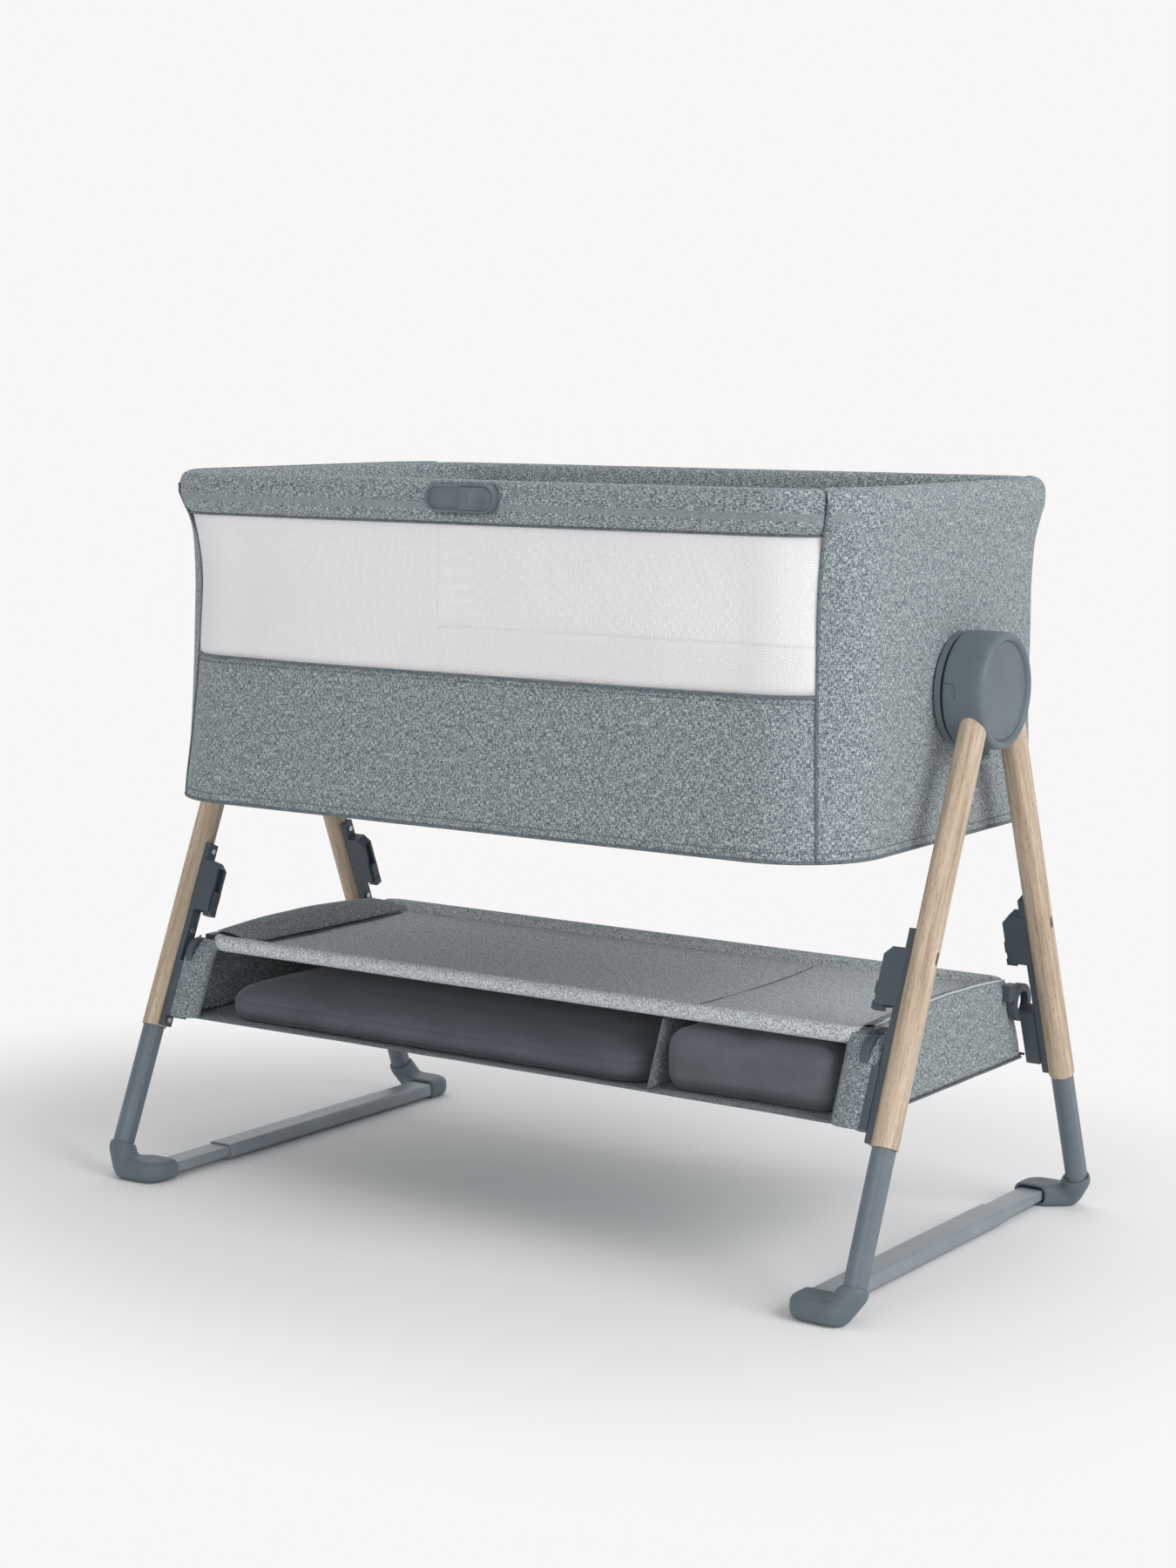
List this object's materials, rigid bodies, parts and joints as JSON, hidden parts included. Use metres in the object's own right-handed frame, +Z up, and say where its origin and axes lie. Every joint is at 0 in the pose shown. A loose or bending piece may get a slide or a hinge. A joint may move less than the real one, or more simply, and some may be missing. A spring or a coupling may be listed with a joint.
{
  "type": "bassinet on stand",
  "caption": "Bedside bassinet with mesh windows and a fold-down front, hung between A-shaped end frames with sliding feet, above a fabric storage shelf.",
  "frame": {"origin": "on the floor, under the middle of the bassinet", "axes": "+X along the length, -Y towards the fold-down front, +Z up"},
  "size_m": [0.99, 0.584, 0.811],
  "materials": {
    "cloth": "grey melange woven cloth, softly padded",
    "mesh": "pale open-weave breathable mesh",
    "wood": "pale open-grain beech, matt lacquer",
    "dark_metal": "slate grey satin powder coat",
    "dark_plastic": "slate grey moulded plastic with a fine texture",
    "pad_cloth": "smooth dark grey coated cloth",
    "mattress_cover": "white knitted cover, lightly quilted",
    "steel": "zinc-plated steel",
    "board": "bare fibreboard"
  },
  "bodies": {
    "stand": {"left_hub_drum": "dark_metal", "right_hub_drum": "dark_metal", "left_hub_cap": "dark_plastic", "right_hub_cap": "dark_plastic", "left_front_leg": "wood", "left_rear_leg": "wood", "right_front_leg": "wood", "right_rear_leg": "wood", "guide_plates": "dark_plastic", "guide_screws": "steel", "shelf_frame": "dark_metal", "shelf_brackets": "dark_plastic", "shelf_deck": "cloth", "shelf_floor": "cloth", "shelf_ends": "cloth", "shelf_back": "cloth", "shelf_divider": "cloth", "storage_pad": "pad_cloth", "storage_roll": "pad_cloth"},
    "cradle": {"rim_tube": "dark_metal", "lower_tube": "dark_metal", "left_end_frame": "dark_metal", "right_end_frame": "dark_metal", "left_swing_plate": "dark_plastic", "right_swing_plate": "dark_plastic", "base_board": "board", "floor_cloth": "cloth", "mattress": "mattress_cover", "rim_sleeve": "cloth", "front_panel": "cloth", "rear_panel": "cloth", "rear_mesh": "mesh", "left_end_panel": "cloth", "right_end_panel": "cloth"},
    "drop_side": {"front_rail": "dark_metal", "rail_sleeve": "cloth", "front_mesh": "mesh", "catch_bezel": "dark_plastic"},
    "catch_button": {"catch_button": "dark_plastic"},
    "left_bolt": {"left_rail_bolt": "steel"},
    "right_bolt": {"right_rail_bolt": "steel"},
    "left_brake": {"left_swing_brake": "dark_plastic"},
    "right_brake": {"right_swing_brake": "dark_plastic"},
    "left_front_foot": {"left_front_tube": "dark_metal", "left_front_boot": "dark_plastic", "left_inner_bar": "dark_metal"},
    "left_front_latch": {"left_front_lever": "dark_plastic"},
    "left_rear_foot": {"left_rear_tube": "dark_metal", "left_rear_boot": "dark_plastic", "left_outer_bar": "dark_metal"},
    "left_rear_latch": {"left_rear_lever": "dark_plastic"},
    "right_front_foot": {"right_front_tube": "dark_metal", "right_front_boot": "dark_plastic", "right_outer_bar": "dark_metal"},
    "right_front_latch": {"right_front_lever": "dark_plastic"},
    "right_rear_foot": {"right_rear_tube": "dark_metal", "right_rear_boot": "dark_plastic", "right_inner_bar": "dark_metal"},
    "right_rear_latch": {"right_rear_lever": "dark_plastic"}
  },
  "joints": [
    {"name": "cradle_swing", "type": "hinge", "parent": "stand", "child": "cradle", "pos_m": [0, 0, 0.606], "axis": [1, 0, 0], "range_deg": [-8, 8]},
    {"name": "front_fold", "type": "hinge", "parent": "cradle", "child": "drop_side", "pos_m": [0, -0.2645, 0.6125], "axis": [1, 0, 0], "range_deg": [0, 165]},
    {"name": "catch_press", "type": "slide", "parent": "drop_side", "child": "catch_button", "axis": [0, 1, 0], "range_m": [0, 0.004], "stiffness_N_per_m": 800},
    {"name": "left_bolt_draw", "type": "slide", "parent": "drop_side", "child": "left_bolt", "axis": [0.7314, -0.682, 0], "range_m": [0, 0.006]},
    {"name": "right_bolt_draw", "type": "slide", "parent": "drop_side", "child": "right_bolt", "axis": [-0.7314, -0.682, 0], "range_m": [0, 0.006]},
    {"name": "left_brake_push", "type": "slide", "parent": "stand", "child": "left_brake", "axis": [0, 0, 1], "range_m": [0, 0.0045]},
    {"name": "right_brake_push", "type": "slide", "parent": "stand", "child": "right_brake", "axis": [0, 0, 1], "range_m": [0, 0.0045]},
    {"name": "left_front_height", "type": "slide", "parent": "stand", "child": "left_front_foot", "axis": [0, 0.3827, 0.9239], "range_m": [0, 0.125]},
    {"name": "left_rear_height", "type": "slide", "parent": "stand", "child": "left_rear_foot", "axis": [0, -0.3827, 0.9239], "range_m": [0, 0.125]},
    {"name": "right_front_height", "type": "slide", "parent": "stand", "child": "right_front_foot", "axis": [0, 0.3827, 0.9239], "range_m": [0, 0.125]},
    {"name": "right_rear_height", "type": "slide", "parent": "stand", "child": "right_rear_foot", "axis": [0, -0.3827, 0.9239], "range_m": [0, 0.125]},
    {"name": "left_front_squeeze", "type": "hinge", "parent": "stand", "child": "left_front_latch", "pos_m": [-0.448, -0.14897, 0.31936], "axis": [0, 0.9239, -0.3827], "range_deg": [0, 7], "stiffness_Nm_per_rad": 0.6},
    {"name": "left_rear_squeeze", "type": "hinge", "parent": "stand", "child": "left_rear_latch", "pos_m": [-0.448, 0.14897, 0.31936], "axis": [0, 0.9239, 0.3827], "range_deg": [0, 7], "stiffness_Nm_per_rad": 0.6},
    {"name": "right_front_squeeze", "type": "hinge", "parent": "stand", "child": "right_front_latch", "pos_m": [0.448, -0.14897, 0.31936], "axis": [0, -0.9239, 0.3827], "range_deg": [0, 7], "stiffness_Nm_per_rad": 0.6},
    {"name": "right_rear_squeeze", "type": "hinge", "parent": "stand", "child": "right_rear_latch", "pos_m": [0.448, 0.14897, 0.31936], "axis": [0, -0.9239, -0.3827], "range_deg": [0, 7], "stiffness_Nm_per_rad": 0.6}
  ],
  "couplings": [
    {"joint": "left_bolt_draw", "follows": "catch_press", "ratio": 1.5},
    {"joint": "right_bolt_draw", "follows": "catch_press", "ratio": 1.5},
    {"joint": "left_rear_height", "follows": "left_front_height", "ratio": 1},
    {"joint": "right_rear_height", "follows": "right_front_height", "ratio": 1}
  ]
}
